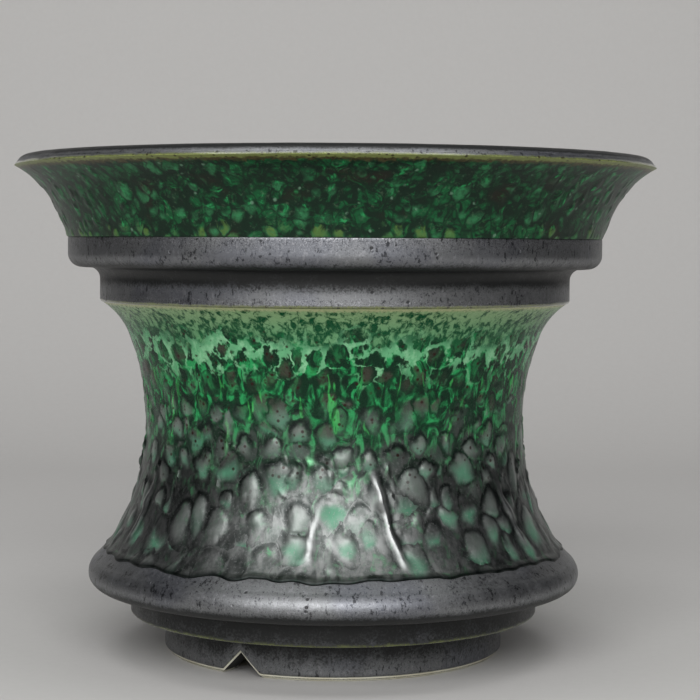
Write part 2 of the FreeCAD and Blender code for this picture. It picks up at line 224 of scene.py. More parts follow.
# %% [markdown]
# Half outlines
#
# A potter checks a pot against a template, a half outline cut from card. It could be a curve pulled into
# shape by hand. Here a small pen draws it in millimetres of radius and height, so that each size can be
# read: along the outer face, then back behind it, so that each glaze is a closed coat and not a sheet of no
# thickness. Each point also carries weights. They say how strong the relief is there, how thin the glaze
# lies, how deep it pools and how much painted shade lies there, how far a hem that runs may move it, and
# how many pale crystals float in it.


# %% A pen for half outlines
class Outline:
    """Points (radius, height) in mm with their weights, drawn with straight and round stretches."""

    # The pooling weight carries both glaze that pools and painted shade.
    WEIGHTS = ("relief", "thin", "pool", "hem", "salt")

    def __init__(self, r, z):
        self.points = [(r, z)]
        self.weights = [{name: 0.0 for name in self.WEIGHTS}]

    def add(self, fresh, weights):
        """Go on through fresh points, while the weights change evenly to those given."""
        before = self.weights[-1]
        goal = {**before, **weights}
        for number, point in enumerate(fresh, start=1):
            share = number / len(fresh)
            self.points.append(point)
            self.weights.append({n: before[n] + (goal[n] - before[n]) * share for n in self.WEIGHTS})

    def end_with(self, **weights):
        """Change the weights of the last point alone."""
        self.weights[-1].update(weights)

    def line(self, r, z, steps=1, **weights):
        r0, z0 = self.points[-1]
        shares = [number / steps for number in range(1, steps + 1)]
        self.add([(r0 + (r - r0) * share, z0 + (z - z0) * share) for share in shares], weights)

    def arc(self, r, z, radius, side, steps, **weights):
        """The shorter arc of a circle of this radius, bulging out from the axis or in to it."""
        r0, z0 = self.points[-1]
        across, down = r - r0, z - z0
        chord = math.hypot(across, down)
        bulge = (down / chord, -across / chord)
        if (bulge[0] > 0) != (side == "out"):
            bulge = (-bulge[0], -bulge[1])
        reach = math.sqrt(max(radius ** 2 - chord ** 2 / 4, 0.0))
        centre = ((r0 + r) / 2 - bulge[0] * reach, (z0 + z) / 2 - bulge[1] * reach)
        first = math.atan2(z0 - centre[1], r0 - centre[0])
        last = math.atan2(z - centre[1], r - centre[0])
        sweep = (last - first + math.pi) % (2 * math.pi) - math.pi
        angles = [first + sweep * number / steps for number in range(1, steps + 1)]
        fresh = [(centre[0] + radius * math.cos(a), centre[1] + radius * math.sin(a)) for a in angles]
        self.add(fresh, weights)

    def bow(self, r, z, rise, side, steps, **weights):
        """A shallow arc that leaves its chord by this rise."""
        r0, z0 = self.points[-1]
        chord = math.hypot(r - r0, z - z0)
        self.arc(r, z, chord ** 2 / (8 * rise) + rise / 2, side, steps, **weights)

    def upright(self, r, z, steps, **weights):
        """An arc that is upright at its narrow end, as the wall is at the waist."""
        r0, z0 = self.points[-1]
        radius = ((r - r0) ** 2 + (z - z0) ** 2) / (2 * abs(r - r0))
        self.arc(r, z, radius, "in", steps, **weights)


print("outline pen ready")

# %% [markdown]
# The lathe
#
# Every part of the pot is round. A Screw modifier could turn the outlines too, but it leaves a seam to
# merge. Curve to Mesh sweeps an outline along a circle, which is a lathe that closes by itself, and the
# same tree can go on to the relief. It keeps every point's place before the relief in an attribute named
# rest, for the finishes to read, then pushes the surface out along its normal. Edges that turn sharply stay
# sharp in the shading.

# %% The outline as a card to sweep
LATHE_RADIUS = 50.0


def outline_card(name, outline):
    """A closed loop of edges, placed so that the lathe's circle carries it round the axis."""
    card = bpy.data.meshes.new(f"{name}_outline")
    corners = [((r - LATHE_RADIUS) * MM, -z * MM, 0.0) for r, z in outline.points]
    count = len(corners)
    card.from_pydata(corners, [(i, (i + 1) % count) for i in range(count)], [])
    for weight in Outline.WEIGHTS:
        kept = card.attributes.new(weight, "FLOAT", "POINT")
        kept.data.foreach_set("value", [weights[weight] for weights in outline.weights])
    return card


# %% A lathe in Geometry Nodes
SHARP_EDGE = math.radians(50)
LATHE_INPUTS = {"Outline": "Geometry", "Around": "Int", "Seed": "Int", "Finish": "Material"}


def lathe_tree(name, relief, reshape):
    """The nodes of a lathe with relief, and the identifiers of its named inputs."""
    tree = bpy.data.node_groups.new(f"{name}_lathe", "GeometryNodeTree")
    identifiers = {}
    for label, kind in LATHE_INPUTS.items():
        socket = tree.interface.new_socket(label, in_out="INPUT", socket_type=f"NodeSocket{kind}")
        identifiers[label] = socket.identifier
    tree.interface.new_socket("Skin", in_out="OUTPUT", socket_type="NodeSocketGeometry")
    inputs = Wire.node(tree, "NodeGroupInput").outputs
    given = {label: Wire(tree, inputs[label]) for label in LATHE_INPUTS}

    def step(kind, settings, values):
        return Wire(tree, Wire.node(tree, kind, settings, values).outputs[0])

    card = step("GeometryNodeMeshToCurve", {}, {"Mesh": given["Outline"]})
    circle = step("GeometryNodeCurvePrimitiveCircle", {},
                  {"Resolution": given["Around"], "Radius": LATHE_RADIUS * MM})
    skin = step("GeometryNodeCurveToMesh", {}, {"Curve": circle, "Profile Curve": card})
    place = step("GeometryNodeInputPosition", {}, {})
    normal = step("GeometryNodeInputNormal", {}, {})
    weight = {label: step("GeometryNodeInputNamedAttribute", {"data_type": "FLOAT"}, {"Name": label})
              for label in Outline.WEIGHTS}
    height, notes = relief(place, given["Seed"])
    for label, note in {"rest": place, **notes}.items():
        skin = step("GeometryNodeStoreNamedAttribute", {"data_type": "FLOAT_VECTOR", "domain": "POINT"},
                    {"Geometry": skin, "Name": label, "Value": note})
    raised = normal * (height * weight["relief"])
    skin = step("GeometryNodeSetPosition", {}, {"Geometry": skin, "Offset": raised})
    if reshape:
        skin = step("GeometryNodeSetPosition", {}, {"Geometry": skin, "Offset": reshape(place, weight)})
    turn = step("GeometryNodeInputMeshEdgeAngle", {}, {})
    sharp = turn.combine("GREATER_THAN", SHARP_EDGE)
    skin = step("GeometryNodeSetShadeSmooth", {"domain": "FACE"}, {0: skin, "Shade Smooth": True})
    skin = step("GeometryNodeSetShadeSmooth", {"domain": "EDGE"},
                {0: skin, "Selection": sharp, "Shade Smooth": False})
    skin = step("GeometryNodeRealizeInstances", {}, {"Geometry": skin})
    skin = step("GeometryNodeSetMaterial", {}, {"Geometry": skin, "Material": given["Finish"]})
    Wire.node(tree, "NodeGroupOutput", {}, {"Skin": skin})
    return tree, identifiers


# %% From an outline to a plain skin on the pot
def report_mesh(piece):
    """Print what tells a sound skin: no open edges, and a volume above zero with faces outward."""
    probe = bmesh.new()
    probe.from_mesh(piece.data)
    loose = sum(1 for edge in probe.edges if len(edge.link_faces) != 2)
    volume = probe.calc_volume(signed=True) / MM ** 3 / 1000
    triangles = sum(len(face.verts) - 2 for face in probe.faces)
    probe.free()
    print(f"{piece.name}: {triangles} triangles, {loose} open edges, {volume:.2f} cm3")


def turned(name, outline, around, relief, seed, finish, reshape=None):
    """Turn an outline into a closed skin with relief, and return it as a plain mesh object."""
    card = outline_card(name, outline)
    piece = bpy.data.objects.new(name, card)
    bpy.context.scene.collection.objects.link(piece)
    lathe = piece.modifiers.new("lathe", "NODES")
    tree, identifiers = lathe_tree(name, relief, reshape)
    lathe.node_group = tree
    for label, value in (("Around", around), ("Seed", seed), ("Finish", finish)):
        lathe[identifiers[label]] = value
    scene_graph = bpy.context.evaluated_depsgraph_get()
    plain = bpy.data.meshes.new_from_object(piece.evaluated_get(scene_graph))
    piece.modifiers.remove(lathe)
    piece.data = plain
    plain.name = name
    bpy.data.meshes.remove(card)
    report_mesh(piece)
    return piece


def seat(piece, node):
    """The skin rides on the pot in place of a CAD coat."""
    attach(piece, "root")
    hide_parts(node)


print("lathe ready")

# %% [markdown]
# A workshop for finishes
#
# A fired glaze is glass with colour, crystals and metal in it. It could be built of several mixed shaders,
# but one Principled shader knows all of these, so every finish is one. What is the same all over is set on
# the shader's own sockets, and what changes over the surface comes from expressions.


# %% How a finish is put together
def new_finish(name, even, painter):
    """A material with even values on its shader, and with sockets that the painter's expressions feed."""
    material = bpy.data.materials.new(name)
    material.use_nodes = True
    tree = material.node_tree
    shader = tree.nodes["Principled BSDF"]
    for socket, value in even.items():
        shader.inputs[socket].default_value = value
    for socket, wire in painter(tree).items():
        tree.links.new(wire.socket, shader.inputs[socket])
    print(f"{name}: {len(tree.nodes)} nodes")
    return material


def attribute(tree, name, output="Vector"):
    made = Wire.node(tree, "ShaderNodeAttribute", {"attribute_name": name})
    return Wire(tree, made.outputs[output])


def object_place(tree):
    return Wire(tree, Wire.node(tree, "ShaderNodeTexCoord").outputs["Object"])


def bumped(height, distance):
    """Fine grain that no mesh could carry, as a normal."""
    made = Wire.node(height.tree, "ShaderNodeBump", {},
                     {"Strength": 1.0, "Distance": distance, "Height": height})
    return Wire(height.tree, made.outputs["Normal"])


print("finish workshop ready")

# %% [markdown]
# How the glaze runs on the waist
#
# In the kiln the thick glaze on the waist gathers into drops, small under the neck, larger and taller
# towards the roll. They could be sculpted one by one, but a scatter of cells in space makes them by a rule:
# squeezed in height, so that they come out tall, and crowded more higher up. The wall cuts through the
# cells. The heart of each is a drop, and the place within the cell says what is its top and what is its
# tip.

# %% A flow of cells
waist_coat = measured("waist_glaze")
ROLL_TOP = waist_coat.low
WAIST_TOP = waist_coat.high
SEED_STEP = 7.3
SEED_SHIFT = 0.1
SWAY_SCALE = 90.0


def cell_flow(place, seed, size, squeeze, crowd, sway):
    """Where a point lies among the cells of the glaze, counted in cells."""
    counted = place * join(place.tree, crowd, crowd, squeeze) / size
    shaken = wander(place + seed * SEED_SHIFT, SWAY_SCALE, 2.0) * sway
    return counted + shaken + seed * SEED_STEP


# %% The drops in the cells
SPREAD = 0.95
CURL_SCALE = 1.4
CURL_LOW = 0.45
CURL_HIGH = 0.90
DROP_THIN = 0.27
DROP_GAIN = 0.34


def drop_cells(flow, place, rise):
    """What the relief and the colours need to know of the drop that a point belongs to."""
    curl = ramp(rise, 0.25, 0.75) * (CURL_HIGH - CURL_LOW) + CURL_LOW
    curled = flow + wander(flow, CURL_SCALE, 3.0) * curl
    cell = voronoi(curled, 1.0, randomness=SPREAD)
    second = voronoi(curled, 1.0, "F2", randomness=SPREAD)
    border = cell["Distance"] / second["Distance"]
    off = curled - cell["Position"]
    up = split(off)[2]
    out = outward(place)
    beside = (off - out * off.combine("DOT_PRODUCT", out)).combine("LENGTH")
    chance, fate, tint = split(cell["Color"])
    egg = beside / (chance * DROP_GAIN + DROP_THIN)
    dome = ramp(egg, 1.20, 0.0) * ramp(border, 1.0, 0.60) * ramp(fate, 0.18, 0.45)
    # The arch over each drop: a groove in the relief, and a painted shade in the waist's colours.
    shaded_arch = between(egg, 0.55, 0.90, 1.0, 1.35) * ramp(up, -0.25, 0.25) * ramp(border, 1.0, 0.80)
    return SimpleNamespace(rise=rise, up=up, border=border, egg=egg, dome=dome, shaded_arch=shaded_arch, fate=fate,
                           tint=tint, out=out)


# %% Thin strands between the drops
STRANDS_LOW = 5.0
STRANDS_GAIN = 2.4
STRAND_SHIFT = (9.3, 5.1, 0.0)
STRAND_CURL = (0.7, 0.7, 0.0)


def strand_lines(drops):
    """Long thin runs, nearly upright, that break off here and there."""
    ring = drops.out * (drops.rise * STRANDS_GAIN + STRANDS_LOW) + STRAND_SHIFT
    curled = ring + wander(ring, 3.2, 2.0) * STRAND_CURL
    edge = voronoi(curled, 1.0, "DISTANCE_TO_EDGE", flat=True)["Distance"]
    luck = noise(curled, 3.4, 1.0)
    return ramp(edge, 0.080, 0.015) * ramp(luck, 0.53, 0.66)


# %% Long single runs
# For each run, degrees right of the front and the level in mm: first its upper end, then its lower end
RUNS = ((-3.2, 52.0, -6.5, 36.0), (10.4, 62.0, 17.2, 34.4), (52.0, 58.0, 57.0, 37.0),
        (97.0, 55.0, 91.0, 35.5), (139.0, 61.0, 146.0, 36.0), (-61.0, 57.0, -66.0, 36.5),
        (-118.0, 60.0, -111.0, 35.0))
RUN_WIDTH = 1.5 * MM
RUN_CORE = 0.15 * RUN_WIDTH
RUN_REACH = 2.6 * RUN_WIDTH
RUN_WANDER = 0.05
RUN_TAIL = 2.0
RUN_HEAD = 1.0
RUN_FADE = 9.0


def run_lines(place):
    """Long single runs of glaze on the skirt: their crests, and the flanks beside them, which get painted
    shade.
    """
    x, y, z = split(place)
    level = z / MM
    away = off_axis(place)
    turn = x.combine("ARCTAN2", y * -1.0) + (noise(place, 110.0, 1.0) - 0.5) * RUN_WANDER
    swell = noise(place, 230.0, 1.0) * 1.4 + 0.4
    crests = []
    shaded_flanks = []
    for top_turn, top, low_turn, low in RUNS:
        lean = math.radians(low_turn - top_turn) / (top - low)
        course = (top - level) * lean + math.radians(top_turn)
        beside = ((turn - course) * away).combine("ABSOLUTE") / swell
        along = between(level, low - RUN_TAIL, low + RUN_TAIL, top - RUN_FADE, top + RUN_HEAD)
        crest = ramp(beside, RUN_WIDTH, RUN_CORE) * along
        crests.append(crest)
        shaded_flanks.append(ramp(beside, RUN_REACH, RUN_WIDTH) * along * (1 - crest))
    return highest(crests), highest(shaded_flanks)


# %% The relief of the waist
DROP_SIZE = 6.6 * MM
SQUEEZE_LOW = 0.44
SQUEEZE_GAIN = 0.22
CROWD_LOW = 0.76
CROWD_GAIN = 0.42
WAIST_SWAY = 0.75
DROP_BULGE = 0.55 * MM
ARCH_GROOVE = 0.10 * MM
STRAND_RIDGE = 0.60 * MM
RUN_HEIGHT = 0.55 * MM
RIVULET = 0.20 * MM
RIVULET_STRETCH = (1.0, 1.0, 0.22)


def waist_rise(place):
    """How high up the waist a point is, from 0 at the roll to 1 at the neck."""
    return rise_from(place, ROLL_TOP, WAIST_TOP)


def waist_relief(place, seed):
    """The height of the glaze over the wall, and the flow of cells for the finish to read."""
    rise = waist_rise(place)
    squeeze = rise * SQUEEZE_GAIN + SQUEEZE_LOW
    crowd = rise * CROWD_GAIN + CROWD_LOW
    flow = cell_flow(place, seed, DROP_SIZE, squeeze, crowd, WAIST_SWAY)
    drops = drop_cells(flow, place, rise)
    low = ramp(rise, 0.90, 0.15)
    bulge = drops.dome * (low * 0.75 + 0.25) * DROP_BULGE
    groove = drops.shaded_arch * low * ARCH_GROOVE
    ridge = strand_lines(drops) * STRAND_RIDGE * between(rise, 0.15, 0.35, 0.45, 0.80)
    crests, shaded_flanks = run_lines(place)
    run = crests * RUN_HEIGHT - shaded_flanks * ARCH_GROOVE
    rivulets = noise(place * RIVULET_STRETCH + seed * SEED_SHIFT, 210.0, 2.0) - 0.5
    return bulge - groove + ridge + run + rivulets * (low * RIVULET), {"flow": flow}


print("running drops ready")

# %% [markdown]
# The finish of the waist
#
# The tones follow each other down the waist. Under the neck the glaze is thin and olive, with green flecks
# that get denser. They end in a froth of mint. Below it are dark cells, some with brown hearts, with
# pinholes and with emerald and lime between them. Then come grey drops with mint tips and lighter caps,
# which are partly a painted highlight, and a painted shade in an arch over each. The lowest part is
# silvery, because metal crystals float up where the glaze lies thick, and a few long runs shine white,
# partly by a painted highlight, with painted shade along their flanks. The lower hem has painted shade
# where it hangs over the roll. All this could be a painted image, but an image would not follow the
# drops. The masks below read the same cells as the relief, and each lays one tone over what is there.

# %% What the waist colours share
TALL = (1.0, 1.0, 0.6)
FINE_BUMP = 0.05 * MM
GRAIN_SCALE = 1500.0


def waist_glaze(tree):
    """The drops of the waist, noises from slow patches to fine grain, and masks that several tones use."""
    rest = attribute(tree, "rest")
    tall = rest * TALL
    drops = drop_cells(attribute(tree, "flow"), rest, waist_rise(rest))
    patches = noise(rest, 100.0, 2.0) - 0.5
    mottle = noise(tall, 420.0, 3.0, 0.6)
    rise = drops.rise + patches * 0.20
    low = ramp(rise + patches * 0.15, 0.66, 0.14)
    shine = low * (ramp(mottle, 0.35, 0.65) * 0.5 + 0.5)
    # Lighter caps on the drops: partly their paler glaze, partly a painted highlight.
    cap_highlight = drops.dome * between(rise, -0.10, 0.12, 0.50, 0.72)
    tip = ramp(drops.up, 0.10, -0.30) * ramp(drops.egg, 1.15, 0.5) * ramp(drops.tint, 0.20, 0.60)
    crests, shaded_flanks = run_lines(rest)
    return SimpleNamespace(rest=rest, tall=tall, drops=drops, patches=patches, mottle=mottle, rise=rise,
                           low=low, shine=shine, cap_highlight=cap_highlight, tip=tip, crests=crests, shaded_flanks=shaded_flanks,
                           wisps=noise(tall, 240.0, 3.0, 0.6, swirl=1.5),
                           grain=noise(rest, GRAIN_SCALE, 2.0, 0.6))


# %% Dark cells with brown hearts
FOREST = (0.003, 0.026, 0.011)
GREEN = (0.012, 0.128, 0.041)
EMERALD = (0.024, 0.310, 0.094)
BROWN_HEART = (0.050, 0.046, 0.034)


def paint_cells(glaze):
    drops = glaze.drops
    colour = blend(ramp(glaze.wisps + glaze.patches * 0.4, 0.44, 0.60), FOREST, GREEN)
    colour = blend(ramp(glaze.wisps + (drops.border - 0.6) * 0.3, 0.53, 0.69), colour, EMERALD)
    below_froth = ramp(glaze.rise, 0.90, 0.80)
    ring = between(drops.egg, 0.65, 0.95, 1.05, 1.40) * below_froth
    colour = blend(ring * 0.7, colour, FOREST)
    brown = ramp(drops.egg, 1.0, 0.35) * ramp(drops.tint, 0.30, 0.65) * below_froth
    return blend(brown * (ramp(glaze.mottle, 0.35, 0.60) * 0.5 + 0.35), colour, BROWN_HEART)


# %% Froth, thin glaze under the neck and lime strands
FROTH = (0.150, 0.450, 0.220)
FROTH_PALE = (0.270, 0.600, 0.330)
THIN_MINT = (0.145, 0.340, 0.160)
THIN_OLIVE_MINT = (0.285, 0.440, 0.220)
FLECK = (0.006, 0.075, 0.026)
LIME = (0.050, 0.430, 0.095)


def paint_froth(glaze, colour):
    drops = glaze.drops
    level = drops.rise + glaze.patches * 0.12 + (noise(glaze.rest, 38.0, 1.0) - 0.5) * 0.12
    threads = noise(glaze.tall + 0.7, 330.0, 3.0, 0.65, swirl=0.5)
    band = between(level, 0.76, 0.83, 0.87, 0.94) * 0.18
    froth = ramp(threads + (drops.border - 0.6) * 0.65 + band, 0.69, 0.82) * ramp(level, 0.66, 0.80)
    colour = blend(froth * 0.9, colour, blend(ramp(glaze.mottle, 0.46, 0.64), FROTH, FROTH_PALE))
    dapple = noise(glaze.tall + 0.3, 520.0, 3.0, 0.65, swirl=0.4)
    flecks = ramp(dapple + (drops.rise - 0.93) * 1.3 + glaze.patches * 0.2, 0.60, 0.42)
    thin = blend(ramp(drops.rise, 0.90, 1.0), THIN_MINT, THIN_OLIVE_MINT)
    colour = blend(ramp(glaze.rise, 0.84, 0.93), colour, blend(flecks, thin, FLECK))
    strands = strand_lines(drops) * between(glaze.rise, 0.36, 0.50, 0.70, 0.80)
    return blend(strands * 0.9, colour, LIME)


# %% Grey drops with mint tips on a silver skirt, with painted highlights and shade
SLATE = (0.009, 0.022, 0.015)
SILVER = (0.230, 0.238, 0.233)
CAP_HIGHLIGHT = (0.210, 0.252, 0.224)
TEAL_MINT = (0.080, 0.270, 0.160)
CHANNEL_AND_SHADE = (0.004, 0.008, 0.007)
SILVER_SPECKLE_AND_RUN_HIGHLIGHT = (0.290, 0.300, 0.295)


def paint_drops(glaze, colour):
    drops, rise, wisps = glaze.drops, glaze.rise, glaze.wisps
    colour = blend(glaze.low * ramp(wisps, 0.72, 0.48), colour, SLATE)
    colour = blend(glaze.shine, colour, SILVER)
    # Lighter caps on the drops, partly a painted highlight.
    colour = blend(glaze.cap_highlight * (drops.fate * 0.6 + 0.2), colour, CAP_HIGHLIGHT)
    colour = blend(glaze.tip * ramp(rise, 0.70, 0.45) * 0.8, colour, TEAL_MINT)
    # Painted shade in the arch over each drop.
    shaded_arch = drops.shaded_arch * ramp(rise, 0.90, 0.50) * (ramp(rise, 0.0, 0.40) * 0.3 + 0.6)
    colour = blend(shaded_arch, colour, CHANNEL_AND_SHADE)
    gap = ramp(drops.border, 0.70, 0.94) * between(rise, 0.30, 0.42, 0.66, 0.78)
    colour = blend(gap * ramp(wisps, 0.66, 0.46) * 0.7, colour, FOREST)
    seam = ramp(drops.border, 0.70, 1.0) * ramp(rise, 0.45, 0.32) * ramp(drops.fate, 0.18, 0.45)
    colour = blend(seam * ramp(wisps, 0.68, 0.42) * 0.5, colour, CHANNEL_AND_SHADE)
    return blend(glaze.low * ramp(glaze.grain, 0.56, 0.70) * 0.4, colour, SILVER_SPECKLE_AND_RUN_HIGHLIGHT)


# %% Long runs, pinholes and the two hems, with painted highlight and shade
PINHOLE = (0.024, 0.005, 0.004)
PINHOLE_SCALE = 560.0
CREAM = (0.500, 0.520, 0.290)


def paint_runs_and_hems(glaze, colour):
    drops = glaze.drops
    # Painted shade along the flanks of the long runs, and a painted white highlight on their crests.
    colour = blend(glaze.shaded_flanks * 0.45, colour, CHANNEL_AND_SHADE)
    colour = blend(glaze.crests, colour, SILVER_SPECKLE_AND_RUN_HIGHLIGHT)
    pinholes = spots(glaze.rest, PINHOLE_SCALE, (0.34, 0.16), (0.15, 0.20))
    pinholes = pinholes * ramp(drops.egg, 0.80, 0.45) * between(glaze.rise, 0.20, 0.40, 0.88, 0.95)
    colour = blend(pinholes * 0.9, colour, PINHOLE)
    colour = blend(ramp(drops.rise + (glaze.grain - 0.5) * 0.02, 0.984, 0.998), colour, CREAM)
    # Painted shade on the lower hem, where it hangs over the roll.
    return blend(ramp(drops.rise, 0.010, -0.008) * 0.9, colour, CHANNEL_AND_SHADE)


# %% The waist finish put together
WAIST_GLOSS = {"Specular IOR Level": 0.18, "Coat IOR": 1.8, "Coat Roughness": 0.35}


def waist_painter(tree):
    glaze = waist_glaze(tree)
    colour = paint_cells(glaze)
    for paint in (paint_froth, paint_drops, paint_runs_and_hems):
        colour = paint(glaze, colour)
    metal = ramp(glaze.shine, 0.0, 0.55) * (1 - glaze.tip * 0.7) * (1 - glaze.cap_highlight * 0.4)
    roughness = glaze.grain * 0.24 + glaze.low * 0.15 + 0.16 - glaze.crests * 0.05
    wet = glaze.drops.dome * between(glaze.rise, -0.05, 0.15, 0.45, 0.75) * 0.6
    return {"Base Color": colour, "Metallic": highest((metal, glaze.crests)), "Roughness": roughness,
            "Coat Weight": wet, "Normal": bumped(glaze.grain * 0.4 + glaze.mottle, FINE_BUMP)}


waist_finish = new_finish("waist_green_glaze", WAIST_GLOSS, waist_painter)

# %% [markdown]
# The waist skin
#
# The glaze covers the waist from the neck down to the roll. There it heaps up into a rolled hem that runs a
# little over the roll, farther here and less there. The hem could be cut into the outline only if it were
# even, so a rule moves the points that carry a hem weight.

# %% Turning the waist
GLAZE = 0.6
THROAT = waist_coat.outer
THROAT_JOIN = 61.5
THROAT_JOIN_LEVEL = 94.69
THROAT_BOW = 0.94
WAIST = waist_coat.inner + GLAZE
WAIST_LEVEL = 68.97
SKIRT_JOIN = 62.95
SKIRT_JOIN_LEVEL = 39.63
SKIRT_BOW = 0.20
SKIRT = 67.3
HEM_RUN = 3.25 * MM
HEM_SCALE = 120.0
HEM_DRY = 0.36
HEM_LEAST = 0.03
HEM_BOW = 0.15
WAIST_AROUND = 576
WAIST_SEED = 3


def slid(place, out, up):
    """A move away from the axis and upward."""
    return outward(place) * out + join(place.tree, 0.0, 0.0, up)


def waist_hem(place, weight):
    """The lower hem slides down over the roll by an uneven amount."""
    uneven = (noise(place * FLATTEN, HEM_SCALE, 0.0) - HEM_DRY).combine("MAXIMUM", HEM_LEAST)
    run = uneven * weight["hem"] * HEM_RUN
    return slid(place, run, run * -1.0)


def by_hem(out, up):
    """A point of the outline, counted from the edge where the skirt meets the roll."""
    return SKIRT + out, ROLL_TOP + up


waist_outline = Outline(THROAT, WAIST_TOP)
waist_outline.bow(THROAT_JOIN, THROAT_JOIN_LEVEL, THROAT_BOW, "in", 26, relief=1.0)
waist_outline.upright(WAIST, WAIST_LEVEL, 52)
waist_outline.upright(SKIRT_JOIN, SKIRT_JOIN_LEVEL, 54)
waist_outline.bow(*by_hem(-0.25, 0.70), SKIRT_BOW, "in", 16, hem=0.7)
waist_outline.line(*by_hem(0.75, -0.10), 4, relief=0.4, hem=1.0)
waist_outline.bow(*by_hem(1.00, -0.95), HEM_BOW, "out", 4, relief=0.0)
waist_outline.line(*by_hem(0.65, -1.10))
waist_outline.line(*by_hem(-GLAZE, -0.50), hem=0.7)
waist_outline.line(SKIRT_JOIN - GLAZE, SKIRT_JOIN_LEVEL, hem=0.0)
waist_outline.upright(WAIST - GLAZE, WAIST_LEVEL, 3)
waist_outline.upright(THROAT_JOIN - GLAZE, THROAT_JOIN_LEVEL, 3)
waist_outline.bow(THROAT - GLAZE, WAIST_TOP, THROAT_BOW, "in", 5)
waist_skin = turned("waist_skin", waist_outline, WAIST_AROUND, waist_relief, WAIST_SEED, waist_finish,
                    waist_hem)
seat(waist_skin, "waist_glaze")

# %% [markdown]
# The flared rim
#
# The same glaze lies thinner on the flare, so its drops stay small: dark green with emerald wisps, paler
# tips and a few sparks of painted highlight. It gathers in a row of blotches above the collar, and thins to
# brown olive and a line of lime under the lip. A second set of drops could be modelled for it, but the
# waist's own rule serves here with smaller cells.

# %% Rim relief
rim_coat = measured("rim_glaze")
COLLAR_TOP = rim_coat.low
TIP = rim_coat.high
RIM_DROP = 4.4 * MM
RIM_SQUEEZE = 0.75
RIM_CROWD = 1.0
RIM_SWAY = 0.6
RIM_BULGE = 0.30 * MM


def rim_rise(place):
    """How high up the flare a point is, from 0 at the collar to 1 at the tip."""
    return rise_from(place, COLLAR_TOP, TIP)


def rim_relief(place, seed):
    flow = cell_flow(place, seed, RIM_DROP, RIM_SQUEEZE, RIM_CROWD, RIM_SWAY)
    drops = drop_cells(flow, place, rim_rise(place))
    return drops.dome * RIM_BULGE, {"flow": flow}


# %% Rim colours on the drops
RIM_DARK = (0.006, 0.020, 0.011)
RIM_GREEN = (0.008, 0.088, 0.029)
RIM_EMERALD = (0.024, 0.280, 0.085)
RIM_MIST = (0.085, 0.150, 0.085)
RIM_RED = (0.026, 0.014, 0.011)
RIM_TIP = (0.040, 0.215, 0.086)
SPARK_HIGHLIGHT = (0.180, 0.330, 0.220)
SPARK_SCALE = 330.0
SPARK_FRAY = 1.2 * MM


def paint_flare(rest, drops, wisps, threads, fine):
    patches = noise(rest, 90.0, 2.0)
    colour = blend(ramp(wisps + (patches - 0.5) * 0.5, 0.44, 0.62), RIM_DARK, RIM_GREEN)
    colour = blend(ramp(wisps + (drops.dome - 0.4) * 0.12, 0.58, 0.73), colour, RIM_EMERALD)
    colour = blend(ramp(threads, 0.58, 0.74) * ramp(patches, 0.40, 0.60) * 0.7, colour, RIM_MIST)
    colour = blend(ramp(fine, 0.50, 0.34) * 0.6, colour, RIM_DARK)
    colour = blend(ramp(fine, 0.58, 0.72) * 0.45, colour, RIM_MIST)
    colour = blend(ramp(patches, 0.42, 0.28) * 0.5, colour, RIM_RED)
    tip = ramp(drops.up, 0.15, -0.25) * ramp(drops.egg, 1.10, 0.40) * ramp(drops.tint, 0.30, 0.65)
    colour = blend(tip * (ramp(fine, 0.35, 0.60) * 0.5 + 0.4), colour, RIM_TIP)
    colour = blend(ramp(drops.border, 0.78, 0.97) * 0.75, colour, RIM_DARK)
    # Painted highlights: a few pale sparks on the flare.
    spark_highlights = spots(rest + (fine - 0.5) * SPARK_FRAY, SPARK_SCALE, (0.24, 0.06), (0.76, 0.80))
    return blend(spark_highlights * 0.6, colour, SPARK_HIGHLIGHT)


# %% Rim finish with its two edges
BLOTCH = (0.060, 0.180, 0.060)
LIME_BLOTCH = (0.090, 0.170, 0.040)
BROWN_OLIVE = (0.085, 0.066, 0.026)
EDGE_LIME = (0.215, 0.250, 0.080)
EDGE_HOLE = (0.026, 0.018, 0.008)
EDGE_HOLE_SCALE = 620.0
RIM_GLOSS = {"Specular IOR Level": 0.18}


def edge_holes(rest):
    """Dark pinholes in the thin glaze along an edge."""
    return spots(rest, EDGE_HOLE_SCALE, (0.36, 0.18), (0.50, 0.55))


def rim_painter(tree):
    rest = attribute(tree, "rest")
    rise = rim_rise(rest)
    drops = drop_cells(attribute(tree, "flow"), rest, rise)
    wisps = noise(rest, 230.0, 3.0, 0.6, swirl=1.5)
    threads = noise(rest + 0.7, 300.0, 3.0, 0.65, swirl=2.0)
    fine = noise(rest + 0.4, 650.0, 3.0, 0.65)
    grain = noise(rest, GRAIN_SCALE, 2.0, 0.6)
    colour = paint_flare(rest, drops, wisps, threads, fine)
    low = ramp(rise + (threads - 0.5) * 0.5, 0.20, 0.06) * ramp(drops.dome + (wisps - 0.5), 0.0, 0.70)
    colour = blend(low * 0.8, colour, blend(ramp(drops.tint, 0.45, 0.75), BLOTCH, LIME_BLOTCH))
    high = ramp(rise + (threads - 0.5) * 0.12, 0.92, 0.96)
    colour = blend(high * 0.85, colour, BROWN_OLIVE)
    colour = blend(ramp(rise + (fine - 0.5) * 0.08, 0.958, 0.980), colour, EDGE_LIME)
    colour = blend(edge_holes(rest) * high * 0.9, colour, EDGE_HOLE)
    return {"Base Color": colour, "Roughness": grain * 0.2 + 0.22,
            "Normal": bumped(grain * 0.4 + wisps, FINE_BUMP)}


rim_finish = new_finish("rim_green_glaze", RIM_GLOSS, rim_painter)

